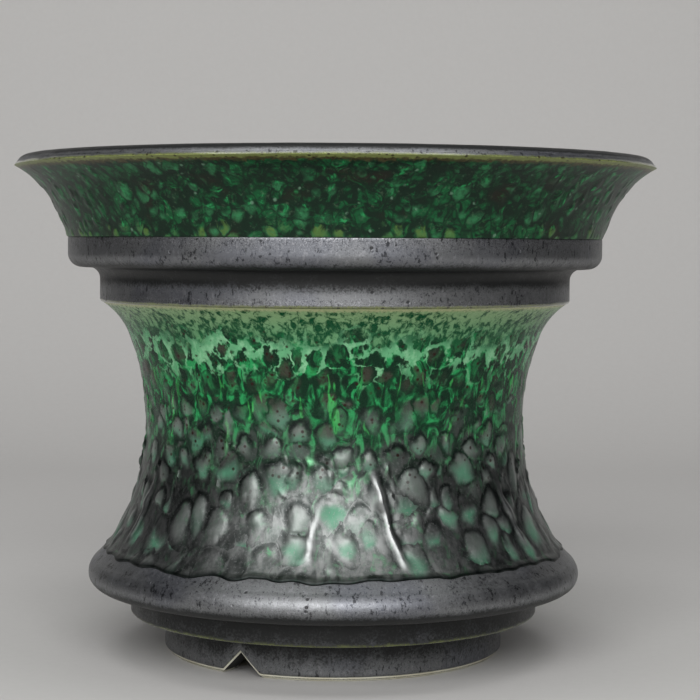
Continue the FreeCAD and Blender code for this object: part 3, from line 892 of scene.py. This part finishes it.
# %% Turning the rim
COLLAR = rim_coat.inner + GLAZE
MOUTH = rim_coat.outer
FLARE_JOIN = 85.55
FLARE_JOIN_LEVEL = 135.89
FLARE_BOW = 0.72
FLARE_LOW_BOW = 0.48
RIM_AROUND = 840
RIM_SEED = 5
rim_outline = Outline(MOUTH, TIP)
rim_outline.bow(FLARE_JOIN, FLARE_JOIN_LEVEL, FLARE_BOW, "in", 26, relief=1.0)
rim_outline.bow(COLLAR, COLLAR_TOP, FLARE_LOW_BOW, "in", 28)
rim_outline.end_with(relief=0.0)
rim_outline.line(COLLAR - GLAZE, COLLAR_TOP)
rim_outline.bow(FLARE_JOIN - GLAZE, FLARE_JOIN_LEVEL, FLARE_LOW_BOW, "in", 3)
rim_outline.bow(MOUTH - GLAZE, TIP, FLARE_BOW, "in", 3)
rim_skin = turned("rim_skin", rim_outline, RIM_AROUND, rim_relief, RIM_SEED, rim_finish)
seat(rim_skin, "rim_glaze")

# %% [markdown]
# Gunmetal glaze
#
# The collar, the roll, the foot and the lip carry a dark glaze full of fine metal crystals: satin, lavender
# grey where the light falls, with pits, dark streaks and pale salt. Where it is thin, on sharp edges, a
# glossy olive yellow shows through. Under an overhang, in the cove, on the step and on the lip's top it is
# painted nearly black without crystals: partly glaze that pools there, partly painted shade. These zones
# could be masked by height, but the same heights mean other things on other skins, so weights that the
# outlines carry, for thin glaze, for pooling with painted shade and for salt, say where they are.

# %% Crystals, streaks and salt
IRON = (0.240, 0.246, 0.252)
IRON_DARK = (0.080, 0.080, 0.088)
BLUE_IRON = (0.150, 0.158, 0.195)
SALT = (0.420, 0.420, 0.440)
PIT = (0.010, 0.010, 0.012)
STREAKED = (1.0, 1.0, 0.5)


def paint_crystals(rest, clouds, crystals):
    bloom = noise(rest, 34.0, 2.0)
    streaks = noise(rest * STREAKED, 800.0, 3.0, 0.65)
    colour = blend(ramp(crystals + (clouds - 0.5) * 0.3, 0.46, 0.28), IRON, IRON_DARK)
    colour = blend(ramp(bloom, 0.52, 0.66) * 0.45, colour, BLUE_IRON)
    colour = blend(ramp(streaks, 0.55, 0.70) * 0.35, colour, SALT)
    colour = blend(ramp(streaks + (clouds - 0.5) * 0.4, 0.41, 0.33) * 0.7, colour, PIT)
    salt = attribute(rest.tree, "salt", "Fac") + (clouds - 0.5)
    colour = blend(salt * ramp(noise(rest + 0.3, 2600.0, 2.0, 0.7), 0.54, 0.66), colour, SALT)
    return blend(salt * ramp(noise(rest + 0.6, 2200.0, 2.0, 0.7), 0.44, 0.34) * 0.8, colour, PIT)


# %% Gunmetal finish with its pools, painted shade and thin edges
POOL_AND_SHADE = (0.010, 0.011, 0.011)
THIN_OLIVE = (0.110, 0.130, 0.032)
PIT_SCALE = 300.0
GUNMETAL_BUMP = 0.07 * MM
GUNMETAL_GLOSS = {"IOR": 1.6, "Specular IOR Level": 0.3, "Coat IOR": 1.7, "Coat Roughness": 0.12}


def gunmetal_painter(tree):
    rest = attribute(tree, "rest")
    clouds = noise(rest, 150.0, 3.0, 0.6)
    crystals = noise(rest, GRAIN_SCALE, 3.0, 0.7)
    colour = paint_crystals(rest, clouds, crystals)
    # Pooling weight: dark glaze that pools, and painted shade under overhangs, in the cove, on the step and
    # on the lip's top.
    pool = attribute(tree, "pool", "Fac") + (crystals - 0.5) * 0.9 + (clouds - 0.5) * 0.6
    pooled = ramp(pool, 0.20, 0.90)
    colour = blend(pooled, colour, POOL_AND_SHADE)
    pits = spots(rest, PIT_SCALE, (0.18, 0.09), (0.80, 0.84))
    colour = blend(pits * 0.9, colour, PIT)
    worn = attribute(tree, "thin", "Fac") + (crystals - 0.5) * 0.9 + (clouds - 0.5) * 0.8
    olive = ramp(worn, 0.30, 0.80)
    colour = blend(olive * 0.9, colour, THIN_OLIVE)
    colour = blend(ramp(worn, 0.80, 1.05), colour, EDGE_LIME)
    colour = blend(edge_holes(rest) * olive * 0.9, colour, EDGE_HOLE)
    metal = (1 - olive) * (1 - pits) * (1 - pooled * 0.9)
    roughness = crystals * 0.30 + clouds * 0.16 + 0.22 - olive * 0.28
    height = crystals * 0.7 + clouds - pits * 1.5
    return {"Base Color": colour, "Metallic": metal, "Roughness": roughness, "Coat Weight": olive * 0.8,
            "Normal": bumped(height, GUNMETAL_BUMP)}


gunmetal = new_finish("gunmetal_glaze", GUNMETAL_GLOSS, gunmetal_painter)

# %% Relief of a poured coat
ORANGE_PEEL = 0.10 * MM
PEEL_SCALE = 160.0


def peel_relief(place, seed):
    """The slow unevenness of a poured coat."""
    waves = noise(place + seed * SEED_SHIFT, PEEL_SCALE, 2.0)
    return (waves - 0.5) * ORANGE_PEEL, {}


# %% [markdown]
# Collar and neck
#
# One coat covers the upright collar, the cove under it and the short neck. It could be three skins, but the
# glaze was poured in one go, and one skin has no seams. Its edges are a little rounded, as glaze always is,
# with pale salt along the collar's upper edge and a thin olive edge above the waist. Under the collar, in
# the cove and on the top of the neck it is painted nearly black: partly pooled glaze, partly painted shade.

# %% Turning the collar band
COLLAR_UNDER = 114.4
COLLAR_EDGE = 0.35
COLLAR_ROUND = 4.0
COLLAR_ROUND_TOP = COLLAR_UNDER + COLLAR_ROUND
NECK = 70.1
NECK_ROUND = NECK - THROAT
COVE = 3.4
COVE_END = COLLAR_UNDER - COVE
NECK_POOL_AND_SHADE_END = WAIST_TOP + 3.2
NECK_SALT = WAIST_TOP + 1.2
BAND_AROUND = 576
BAND_SEED = 7
band_outline = Outline(COLLAR - GLAZE, COLLAR_TOP)
band_outline.line(COLLAR - COLLAR_EDGE, COLLAR_TOP)
band_outline.arc(COLLAR, COLLAR_TOP - COLLAR_EDGE, COLLAR_EDGE, "out", 4, relief=0.5, salt=1.0)
band_outline.line(COLLAR, COLLAR_ROUND_TOP, 9, relief=1.0, salt=0.0)
# Painted shade, partly pooled glaze: the pooling weight darkens the collar's underside, the cove and the
# neck's top.
band_outline.arc(COLLAR - COLLAR_ROUND, COLLAR_UNDER, COLLAR_ROUND, "out", 14, pool=1.3)
band_outline.line(NECK + COVE, COLLAR_UNDER, 3, pool=1.0)
band_outline.arc(NECK, COVE_END, COVE, "in", 12, pool=0.9)
band_outline.line(NECK, NECK_POOL_AND_SHADE_END, 8, pool=0.2)
band_outline.line(NECK, NECK_SALT, 4, pool=0.0, salt=0.9)
band_outline.line(NECK, WAIST_TOP + NECK_ROUND, 2, thin=0.6)
band_outline.arc(THROAT, WAIST_TOP, NECK_ROUND, "out", 5, thin=1.0, relief=0.0)
band_outline.line(THROAT - GLAZE, WAIST_TOP, thin=0.0, salt=0.0)
band_outline.line(NECK - GLAZE, NECK_SALT)
band_outline.line(NECK - GLAZE, COVE_END)
band_outline.arc(NECK + COVE, COLLAR_UNDER + GLAZE, COVE + GLAZE, "in", 6)
band_outline.line(COLLAR - COLLAR_ROUND, COLLAR_UNDER + GLAZE)
band_outline.line(COLLAR - GLAZE, COLLAR_ROUND_TOP)
band_skin = turned("band_skin", band_outline, BAND_AROUND, peel_relief, BAND_SEED, gunmetal)
seat(band_skin, "band_glaze")

# %% [markdown]
# Roll, step and foot
#
# The lowest coat runs over the roll, the step and the foot. Before firing it is wiped off the foot's edge
# and the drain notches, or the pot would stick to the kiln shelf. A Boolean could cut the notches out of
# the skin, but it leaves ragged faces. The hem weight of the outline is 1 along the lower edge instead, and
# a small rule lifts that edge into an upside-down V over each notch.

# %% Wiping the glaze off the notches
base_coat = measured("base_glaze")
BARE_EDGE = base_coat.low
NOTCH_TURN = 31.0
NOTCH_COUNT = 3
WIPED_WIDTH = 15.04
WIPED_HEIGHT = 7.30


def wiped_hem(place, weight):
    """Lift the lower edge over the drain notches."""
    vees = []
    for number in range(NOTCH_COUNT):
        angle = math.radians(-90 - NOTCH_TURN + number * 360 / NOTCH_COUNT)
        ahead = (math.cos(angle), math.sin(angle), 0.0)
        across = (-math.sin(angle), math.cos(angle), 0.0)
        beside = place.combine("DOT_PRODUCT", across).combine("ABSOLUTE")
        facing = place.combine("DOT_PRODUCT", ahead).combine("GREATER_THAN", 0.0)
        slope = (1 - beside / (WIPED_WIDTH / 2 * MM)) * WIPED_HEIGHT - BARE_EDGE
        vees.append(slope.combine("MAXIMUM", 0.0) * facing)
    return join(place.tree, 0.0, 0.0, highest(vees) * weight["hem"] * MM)


# %% Turning the base
ROLL = base_coat.outer
ROLL_OVER = 71.3
ROLL_OVER_LEVEL = 28.2
ROLL_OVER_ROUND = 5.75
ROLL_ROUND = 4.0
ROLL_UNDER = 19.6
ROLL_MIDDLE = ROLL_UNDER + ROLL_ROUND
STEP = 61.0
STEP_UNDER = 11.7
STEP_WORN = STEP_UNDER + 1.8
FOOT = base_coat.inner + GLAZE
CORNER = 0.5
WIPED_ROUND = 0.55
BASE_AROUND = 720
BASE_SEED = 11
base_outline = Outline(SKIRT - GLAZE, ROLL_TOP)
# Painted shade, partly pooled glaze: the pooling weight darkens the roll's top under the hem, its underside,
# the step and the foot's top.
base_outline.line(SKIRT, ROLL_TOP, pool=0.5)
base_outline.line(ROLL_OVER, ROLL_OVER_LEVEL, 10, relief=1.0, pool=0.2)
base_outline.arc(ROLL, ROLL_MIDDLE, ROLL_OVER_ROUND, "out", 10, salt=0.35)
base_outline.arc(ROLL - ROLL_ROUND, ROLL_UNDER, ROLL_ROUND, "out", 14, pool=2.0, salt=0.0)
base_outline.line(STEP + CORNER, ROLL_UNDER, 8, pool=1.0)
base_outline.arc(STEP, ROLL_UNDER - CORNER, CORNER, "in", 3)
base_outline.line(STEP, STEP_WORN, 12, pool=0.8)
base_outline.line(STEP, STEP_UNDER + CORNER, 4, thin=0.50)
base_outline.arc(STEP - CORNER, STEP_UNDER, CORNER, "out", 4, thin=1.0)
base_outline.line(STEP - 2 * CORNER, STEP_UNDER, 2, thin=0.4)
base_outline.line(FOOT + CORNER, STEP_UNDER, 8, thin=0.0, pool=1.0)
base_outline.arc(FOOT, STEP_UNDER - CORNER, CORNER, "in", 3)
base_outline.line(FOOT, BARE_EDGE + CORNER, 16, hem=0.95, pool=0.4)
base_outline.arc(FOOT - GLAZE, BARE_EDGE, WIPED_ROUND, "out", 4, hem=1.0, relief=0.0, thin=0.5)
base_outline.line(FOOT - GLAZE, STEP_UNDER + GLAZE, 2, hem=0.0, thin=0.0)
base_outline.line(STEP - GLAZE, STEP_UNDER + GLAZE)
base_outline.line(STEP - GLAZE, ROLL_UNDER + GLAZE)
base_outline.line(ROLL - ROLL_ROUND, ROLL_UNDER + GLAZE)
base_outline.line(ROLL - GLAZE, ROLL_MIDDLE)
base_outline.line(ROLL_OVER - GLAZE, ROLL_OVER_LEVEL)
base_skin = turned("base_skin", base_outline, BASE_AROUND, peel_relief, BASE_SEED, gunmetal, wiped_hem)
seat(base_skin, "base_glaze")

# %% [markdown]
# The lip
#
# The lip is rounded like a finger. Its top carries a painted shade, metal shines on its round, and the coat
# thins to a line of lime on the outer edge, where the flare begins. It could be part of the rim's skin, but
# it carries the other glaze, so it is a skin of its own that meets the rim's at the edge.

# %% Turning the lip
lip_coat = measured("lip_glaze")
inner_coat = measured("inner_glaze")
TOP = lip_coat.high
LIP_TOP = 90.4
LIP_TOP_BOW = 0.35
LIP_SHOULDER = 92.63
LIP_SHOULDER_LEVEL = 146.59
LIP_EDGE = 94.2
LIP_EDGE_LEVEL = 144.95
LIP_EDGE_BOW = 0.08
LIP_ROUND = 3.68
LIP_BACK_BOW = 0.8
LIP_INSIDE = lip_coat.inner
LIP_INSIDE_LEVEL = inner_coat.high
LIP_AROUND = 576
LIP_SEED = 13
lip_outline = Outline(LIP_INSIDE, LIP_INSIDE_LEVEL)
# Painted shade: the pooling weight darkens the lip's top.
lip_outline.bow(LIP_TOP, TOP, LIP_TOP_BOW, "in", 8, relief=1.0, pool=2.4)
lip_outline.arc(LIP_SHOULDER, LIP_SHOULDER_LEVEL, LIP_ROUND, "out", 6, pool=1.4)
lip_outline.arc(LIP_EDGE, LIP_EDGE_LEVEL, LIP_ROUND, "out", 8, thin=0.15, pool=0.2)
lip_outline.bow(MOUTH, TIP, LIP_EDGE_BOW, "out", 4, thin=1.0, pool=0.0, relief=0.0)
lip_outline.line(MOUTH - GLAZE, TIP, thin=0.0)
lip_outline.bow(LIP_TOP, TOP - GLAZE, LIP_BACK_BOW, "out", 4)
lip_skin = turned("lip_skin", lip_outline, LIP_AROUND, peel_relief, LIP_SEED, gunmetal)
seat(lip_skin, "lip_glaze")

# %% [markdown]
# Inside the mouth
#
# A pot like this is usually glazed a little way down inside. The coat goes from the lip to the collar and
# ends in an uneven line on the bare clay. The line could be painted with a mask, but real glaze ends in a
# step, so the skin itself ends there, moved by the same kind of rule as the hem of the waist.

# %% Inner finish
DEEP_OLIVE = (0.050, 0.085, 0.028)
INNER_DARK = (0.012, 0.032, 0.016)
INNER_GLOSS = {"IOR": 1.6}


def inner_painter(tree):
    rest = attribute(tree, "rest")
    clouds = noise(rest, 120.0, 3.0, 0.6)
    grain = noise(rest, 1300.0, 2.0, 0.6)
    hem = attribute(tree, "hem", "Fac")
    colour = blend(ramp(clouds, 0.35, 0.65), INNER_DARK, DEEP_OLIVE)
    colour = blend(ramp(hem + (grain - 0.5) * 0.3, 0.75, 0.95), colour, THIN_OLIVE)
    return {"Base Color": colour, "Roughness": grain * 0.2 + 0.18,
            "Normal": bumped(grain + clouds, FINE_BUMP)}


inner_finish = new_finish("inner_olive_glaze", INNER_GLOSS, inner_painter)

# %% Turning the inner coat
RIM_INSIDE = 73.5
RIM_INSIDE_LEVEL = 125.2
RIM_INSIDE_BOW = 1.8
COLLAR_INSIDE = 67.5
INNER_END = inner_coat.low
INNER_HEM_THICK = 0.3
INNER_HEM_HEIGHT = 0.4
INNER_HEM_SLOPE = 0.1
INNER_RUN = 4.0 * MM
INNER_HEM_SCALE = 60.0
HEM_FACE = COLLAR_INSIDE - INNER_HEM_THICK
INNER_AROUND = 480
INNER_SEED = 17


def inner_hem(place, weight):
    """The lower end moves up and down the slope of the wall."""
    uneven = noise(place * FLATTEN, INNER_HEM_SCALE, 2.0) - 0.5
    run = uneven * weight["hem"] * INNER_RUN
    return slid(place, run, run)


inner_outline = Outline(LIP_INSIDE + GLAZE, LIP_INSIDE_LEVEL)
inner_outline.bow(RIM_INSIDE + GLAZE, RIM_INSIDE_LEVEL, RIM_INSIDE_BOW, "in", 4)
inner_outline.line(RIM_INSIDE + GLAZE, COLLAR_TOP)
inner_outline.line(COLLAR_INSIDE, INNER_END, 2, hem=1.0)
inner_outline.line(HEM_FACE, INNER_END)
inner_outline.line(HEM_FACE + INNER_HEM_SLOPE, INNER_END + INNER_HEM_HEIGHT, 2, hem=0.9, relief=1.0)
inner_outline.line(RIM_INSIDE, COLLAR_TOP, 14, hem=0.0)
inner_outline.line(RIM_INSIDE, RIM_INSIDE_LEVEL, 4)
inner_outline.bow(LIP_INSIDE, LIP_INSIDE_LEVEL, RIM_INSIDE_BOW, "in", 30, relief=0.0)
inner_skin = turned("inner_skin", inner_outline, INNER_AROUND, peel_relief, INNER_SEED, inner_finish,
                    inner_hem)
seat(inner_skin, "inner_glaze")

# %% [markdown]
# Bare porcelain
#
# The foot's edge, the notches, the floor and the inside are unglazed. Fired porcelain is warm white and
# dry, with faint turning lines and a few iron specks, and the inside of the foot is painted dark. These
# sections could be modelled again too, but their CAD shapes already are the real ones, so they only get a
# finish.

# %% Porcelain finish on the clay sections
PORCELAIN = (0.680, 0.670, 0.560)
PORCELAIN_WARM = (0.590, 0.560, 0.430)
FOOT_INSIDE_DARK = (0.014, 0.015, 0.014)
IRON_SPECK = (0.160, 0.110, 0.070)
IRON_SPECK_SCALE = 160.0
TURNING_LINE_SCALE = 900.0
FOOT_INSIDE_RADII = ((FOOT - 0.7) * MM, (FOOT - 1.0) * MM)
FOOT_INSIDE_LEVELS = (0.3 * MM, 0.6 * MM, STEP_UNDER * MM, (STEP_UNDER + 0.5) * MM)
FOOT_INSIDE_FRAY = 0.6 * MM
PORCELAIN_BUMP = 0.10 * MM
PORCELAIN_GLOSS = {"IOR": 1.5}
CLAY_SECTIONS = ("foot_ring", "floor_disc", "base_roll", "waist_wall", "neck_ring", "collar_ring",
                 "rim_flare")


def porcelain_painter(tree):
    place = object_place(tree)
    away = off_axis(place)
    level = split(place)[2]
    clouds = noise(place, 60.0, 3.0, 0.6)
    lines = noise(join(tree, away, 0.0, level), TURNING_LINE_SCALE, 1.0)
    dust = noise(place, 1800.0, 2.0, 0.6)
    colour = blend(ramp(clouds + (lines - 0.5) * 0.4, 0.35, 0.7), PORCELAIN, PORCELAIN_WARM)
    specks = spots(place, IRON_SPECK_SCALE, (0.09, 0.04), (0.7, 0.72))
    colour = blend(specks * 0.7, colour, IRON_SPECK)
    # Darker inside the foot ring, from the floor up to the step.
    inside = ramp(away + (dust - 0.5) * FOOT_INSIDE_FRAY, *FOOT_INSIDE_RADII)
    colour = blend(inside * between(level, *FOOT_INSIDE_LEVELS), colour, FOOT_INSIDE_DARK)
    return {"Base Color": colour, "Roughness": dust * 0.2 + 0.55,
            "Normal": bumped(lines + dust * 0.3, PORCELAIN_BUMP)}


porcelain = new_finish("bare_porcelain", PORCELAIN_GLOSS, porcelain_painter)
for section in CLAY_SECTIONS:
    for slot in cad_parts[section].material_slots:
        slot.link = "OBJECT"
        slot.material = porcelain
print("porcelain on", len(CLAY_SECTIONS), "sections")

# %% [markdown]
# A sweep of paper
#
# Pots are photographed on a sweep: one pale sheet that is floor and backdrop in one, with a curve in
# between. Two flat sheets would show an edge, and a bare floor plane a horizon. The sweep is a short
# path of points, drawn wide.

# %% A pale sweep of paper, in metres
PAPER = (0.60, 0.59, 0.575)
PAPER_DARK = (0.57, 0.56, 0.545)
SWEEP_WIDTH = 1.7
SWEEP_FRONT = -2.0
SWEEP_BACK = 0.45
SWEEP_CURVE = 0.40
SWEEP_TOP = 1.0
CURVE_STEPS = 16
FLOOR_LEVEL = -0.1 * MM


def paper_painter(tree):
    fibres = noise(object_place(tree), 300.0, 3.0, 0.6)
    return {"Base Color": blend(fibres, PAPER, PAPER_DARK), "Roughness": fibres * 0.1 + 0.8}


path = [(SWEEP_FRONT, FLOOR_LEVEL)]
for number in range(CURVE_STEPS + 1):
    bend = math.radians(90) * number / CURVE_STEPS
    back = SWEEP_BACK + SWEEP_CURVE * math.sin(bend)
    path.append((back, FLOOR_LEVEL + SWEEP_CURVE * (1 - math.cos(bend))))
path.append((SWEEP_BACK + SWEEP_CURVE, SWEEP_TOP))
sides = (-SWEEP_WIDTH / 2, SWEEP_WIDTH / 2)
sweep_mesh = bpy.data.meshes.new("paper_sweep")
sweep_mesh.from_pydata([(side, y, z) for y, z in path for side in sides], [],
                       [(2 * i, 2 * i + 1, 2 * i + 3, 2 * i + 2) for i in range(len(path) - 1)])
sweep_mesh.materials.append(new_finish("paper", {}, paper_painter))
for face in sweep_mesh.polygons:
    face.use_smooth = True
sweep = bpy.data.objects.new("paper_sweep", sweep_mesh)
bpy.context.scene.collection.objects.link(sweep)
print("sweep of", len(sweep_mesh.polygons), "faces")

# %% [markdown]
# Soft light
#
# One large softbox hangs in front of the pot and above it: its reflection makes the grey sheen on the skirt
# and the light lines on the collar and the roll. A weaker panel hangs overhead for the lip and the upper
# side of the roll. Small lamps would give the same brightness, but a glaze mirrors its lamps, and small
# ones would be points.

# %% Softbox, top panel and surrounding light
SOFTBOX_PLACE = (-0.13, -1.35, 0.85)
SOFTBOX_SIZE = (1.85, 1.0)
SOFTBOX_POWER = 26.0
TOP_PLACE = (0.0, -0.25, 1.30)
TOP_SIZE = (1.4, 0.5)
TOP_POWER = 6.0
LAMP_AIM = (0.0, 0.0, 0.08)
ROOM = (0.05, 0.05, 0.054)


def hang_lamp(name, place, size, power):
    """An area lamp that faces the middle of the pot."""
    light = bpy.data.lights.new(name, "AREA")
    light.shape = "RECTANGLE"
    light.size, light.size_y = size
    light.energy = power
    lamp = bpy.data.objects.new(name, light)
    lamp.location = place
    lamp.rotation_euler = (Vector(place) - Vector(LAMP_AIM)).to_track_quat("Z", "Y").to_euler()
    bpy.context.scene.collection.objects.link(lamp)


hang_lamp("softbox", SOFTBOX_PLACE, SOFTBOX_SIZE, SOFTBOX_POWER)
hang_lamp("top_panel", TOP_PLACE, TOP_SIZE, TOP_POWER)
world = bpy.data.worlds.new("studio")
bpy.context.scene.world = world
world.use_nodes = True
background = world.node_tree.nodes["Background"]
background.inputs["Color"].default_value = (*ROOM, 1.0)
background.inputs["Strength"].default_value = 1.0
bpy.context.scene.view_settings.view_transform = "Standard"
print("lights set:", len(bpy.data.lights))

# %% [markdown]
# Camera
#
# The camera stands where the photograph was taken from, and looks a little down on the pot. It could be
# placed by eye, but the ellipses of the rim, the neck and the foot tell the distance and the height. The
# lens follows from the pot's size in the picture, and a small shift keeps the pot's axis left of the
# middle.

# %% Camera at the photograph's place
CAMERA_PLACE = (0.0, -0.5817, 0.1214)
CAMERA_DOWN = 3.13
CAMERA_ROLL = 0.32
SENSOR_WIDTH = 36.0
CLIP_START = 0.01
IMAGE_WIDTH = 700
FOCAL_PIXELS = 1934
AXIS_LEFT = 15.5
camera_data = bpy.data.cameras.new("camera")
camera_data.sensor_width = SENSOR_WIDTH
camera_data.lens = SENSOR_WIDTH * FOCAL_PIXELS / IMAGE_WIDTH
camera_data.shift_x = AXIS_LEFT / IMAGE_WIDTH
camera_data.clip_start = CLIP_START
camera = bpy.data.objects.new("camera", camera_data)
turn_down = Matrix.Rotation(math.radians(90 - CAMERA_DOWN), 4, "X")
roll = Matrix.Rotation(math.radians(CAMERA_ROLL), 4, "Z")
camera.matrix_world = Matrix.Translation(CAMERA_PLACE) @ turn_down @ roll
bpy.context.scene.collection.objects.link(camera)
bpy.context.scene.camera = camera
print("lens in mm:", round(camera_data.lens, 1))
